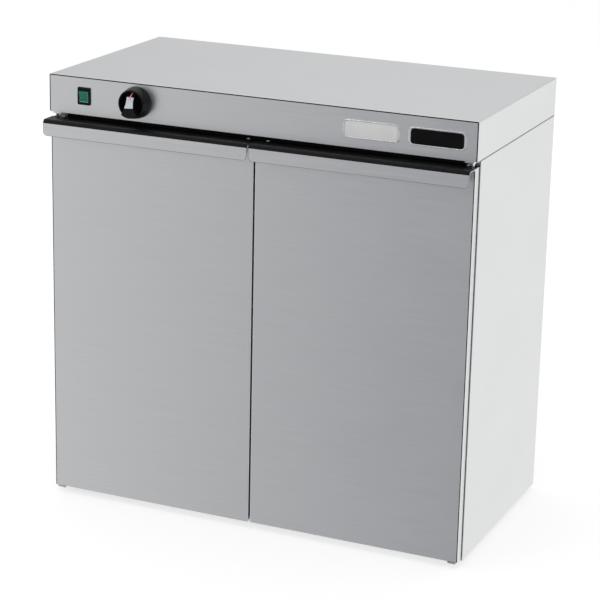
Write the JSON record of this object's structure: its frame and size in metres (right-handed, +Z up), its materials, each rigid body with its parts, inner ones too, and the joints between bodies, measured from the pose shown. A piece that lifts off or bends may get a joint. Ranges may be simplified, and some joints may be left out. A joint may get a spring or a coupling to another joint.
{
  "type": "plate warmer cabinet",
  "caption": "Floor-standing heated stainless cabinet for plates, with hinged double doors, full-width grips and a top control strip with rocker switch and thermostat knob.",
  "frame": {"origin": "on the floor, under the middle of the whole object's bounding box", "axes": "+Z up; the doors and controls face -Y; +X to the user's right as the user faces the doors"},
  "size_m": [0.86, 0.5, 0.85],
  "materials": {
    "brushed_stainless": "satin",
    "liner_sheet": "satin",
    "galvanised_sheet": "matte",
    "hinge_steel": "polished",
    "chromed_wire": "polished",
    "heater_tube": "satin",
    "capillary_copper": "satin",
    "mineral_wool": "matte",
    "gasket_rubber": "matte",
    "black_rubber": "matte",
    "black_plastic": "satin",
    "white_plastic": "satin",
    "green_plastic": "gloss",
    "red_enamel": "gloss",
    "wire_sleeve": "satin"
  },
  "bodies": {
    "cabinet": {"back_liner": "liner_sheet", "back_panel": "galvanised_sheet", "base_pan": "galvanised_sheet", "cable_gland": "black_plastic", "capillary_bulb": "capillary_copper", "case_screws": "hinge_steel", "centre_partition": "liner_sheet", "chamber_floor": "liner_sheet", "control_tray": "galvanised_sheet", "door_catches": "black_plastic", "front_rail": "brushed_stainless", "heater_brackets": "galvanised_sheet", "left_heater": "heater_tube", "left_heater_cover": "liner_sheet", "left_lower_hinge": "hinge_steel", "left_lower_shelf": "chromed_wire", "left_middle_shelf": "chromed_wire", "left_side_panel": "brushed_stainless", "left_upper_hinge": "hinge_steel", "left_upper_shelf": "chromed_wire", "right_heater": "heater_tube", "right_heater_cover": "liner_sheet", "right_lower_hinge": "hinge_steel", "right_lower_shelf": "chromed_wire", "right_middle_shelf": "chromed_wire", "right_side_panel": "brushed_stainless", "right_upper_hinge": "hinge_steel", "right_upper_shelf": "chromed_wire", "roof_liner": "liner_sheet", "rubber_feet": "black_rubber", "shelf_runners": "liner_sheet", "side_liners": "liner_sheet", "switch_frame": "black_plastic", "terminal_block": "white_plastic", "thermostat": "galvanised_sheet", "top_cover": "brushed_stainless", "wall_insulation": "mineral_wool", "wiring_loom": "wire_sleeve"},
    "left_door": {"left_door_gasket": "gasket_rubber", "left_door_insulation": "mineral_wool", "left_door_liner": "liner_sheet", "left_door_skin": "brushed_stainless", "left_grip_cap": "black_plastic", "left_grip_screws": "hinge_steel", "left_grip_strip": "brushed_stainless", "left_hinge_bushes": "white_plastic", "left_strike_plate": "hinge_steel"},
    "right_door": {"right_door_gasket": "gasket_rubber", "right_door_insulation": "mineral_wool", "right_door_liner": "liner_sheet", "right_door_skin": "brushed_stainless", "right_grip_cap": "black_plastic", "right_grip_screws": "hinge_steel", "right_grip_strip": "brushed_stainless", "right_hinge_bushes": "white_plastic", "right_strike_plate": "hinge_steel"},
    "knob": {"control_knob": "black_plastic", "knob_pointer": "red_enamel", "knob_shaft": "hinge_steel"},
    "rocker": {"switch_rocker": "green_plastic"}
  },
  "joints": [
    {"name": "left_door_hinge", "type": "hinge", "parent": "cabinet", "child": "left_door", "pos_m": [-0.419, -0.208, 0.389], "axis": [0, 0, -1], "range_deg": [0, 110]},
    {"name": "right_door_hinge", "type": "hinge", "parent": "cabinet", "child": "right_door", "pos_m": [0.419, -0.208, 0.389], "axis": [0, 0, 1], "range_deg": [0, 110]},
    {"name": "knob_turn", "type": "hinge", "parent": "cabinet", "child": "knob", "pos_m": [-0.243, -0.217, 0.814], "axis": [0, 1, 0], "range_deg": [0, 270]},
    {"name": "rocker_tilt", "type": "hinge", "parent": "cabinet", "child": "rocker", "pos_m": [-0.3548, -0.212, 0.814], "axis": [-1, 0, 0], "range_deg": [0, 16]}
  ]
}
